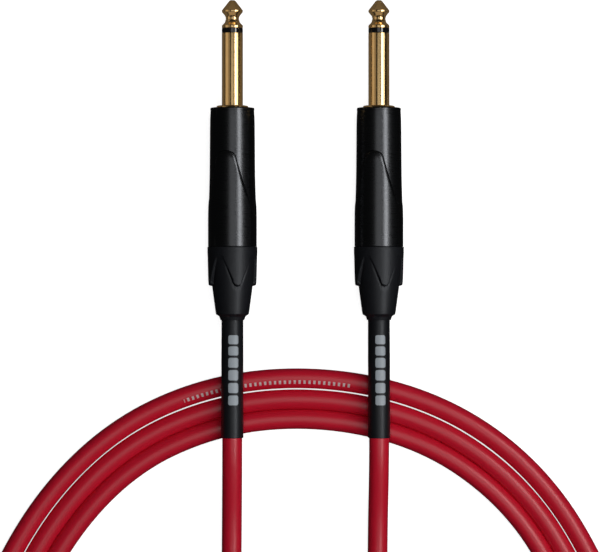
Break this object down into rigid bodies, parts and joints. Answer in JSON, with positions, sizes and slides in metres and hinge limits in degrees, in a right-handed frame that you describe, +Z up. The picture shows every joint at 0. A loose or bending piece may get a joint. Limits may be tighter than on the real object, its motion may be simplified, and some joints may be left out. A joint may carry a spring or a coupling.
{
  "type": "instrument cable",
  "caption": "Instrument lead: straight gold-plated jack plugs with screwed black shells and boots, on a coiled red screened cable.",
  "frame": {"origin": "on the table, midway between the two plugs and midway along them", "axes": "+Y along the plugs towards their tips, +Z up off the table, +X from the left plug to the right plug; the coil lies towards -Y"},
  "size_m": [0.2028, 0.3132, 0.0151],
  "materials": {
    "gold_plate": "polished gold plating",
    "black_insulator": "moulded, satin",
    "tinned_metal": "tinned",
    "black_shell": "satin black over turned metal",
    "chuck_plastic": "moulded, matt",
    "boot_plastic": "moulded, fine matt grain",
    "shrink_sleeve": "heat-shrunk, satin",
    "red_jacket": "extruded, satin",
    "core_insulation": "extruded",
    "copper_wire": "stranded bare copper"
  },
  "bodies": {
    "lead": {"left_tip_contact": "gold_plate", "left_tip_insulator": "black_insulator", "left_sleeve_contact": "gold_plate", "left_rear_insulator": "black_insulator", "left_tip_lug": "tinned_metal", "left_sleeve_lug": "tinned_metal", "left_liner": "black_insulator", "left_chuck": "chuck_plastic", "left_cable_end": "red_jacket", "left_heat_shrink": "shrink_sleeve", "left_core_insulation": "core_insulation", "left_core_wire": "copper_wire", "left_shield_wire": "copper_wire", "right_tip_contact": "gold_plate", "right_tip_insulator": "black_insulator", "right_sleeve_contact": "gold_plate", "right_rear_insulator": "black_insulator", "right_tip_lug": "tinned_metal", "right_sleeve_lug": "tinned_metal", "right_liner": "black_insulator", "right_chuck": "chuck_plastic", "right_cable_end": "red_jacket", "right_heat_shrink": "shrink_sleeve", "right_core_insulation": "core_insulation", "right_core_wire": "copper_wire", "right_shield_wire": "copper_wire", "left_tail": "red_jacket", "right_tail": "red_jacket", "main_coil": "red_jacket", "small_coil": "red_jacket"},
    "left_boot": {"left_boot": "boot_plastic"},
    "left_shell": {"left_shell": "black_shell"},
    "right_boot": {"right_boot": "boot_plastic"},
    "right_shell": {"right_shell": "black_shell"}
  },
  "joints": [
    {"name": "left_shell_slide", "type": "slide", "parent": "lead", "child": "left_shell", "axis": [0, 1, 0], "range_m": [0, 0.0055]},
    {"name": "left_boot_turn", "type": "hinge", "parent": "lead", "child": "left_boot", "pos_m": [-0.02205, 0, 0.00753], "axis": [0, -1, 0], "range_deg": [0, 1980]},
    {"name": "right_shell_slide", "type": "slide", "parent": "lead", "child": "right_shell", "axis": [0, 1, 0], "range_m": [0, 0.0055]},
    {"name": "right_boot_turn", "type": "hinge", "parent": "lead", "child": "right_boot", "pos_m": [0.02205, 0, 0.00753], "axis": [0, -1, 0], "range_deg": [0, 1980]}
  ],
  "couplings": [
    {"joint": "left_boot_turn", "follows": "left_shell_slide", "rad_per_m": 6283.2},
    {"joint": "right_boot_turn", "follows": "right_shell_slide", "rad_per_m": 6283.2}
  ]
}
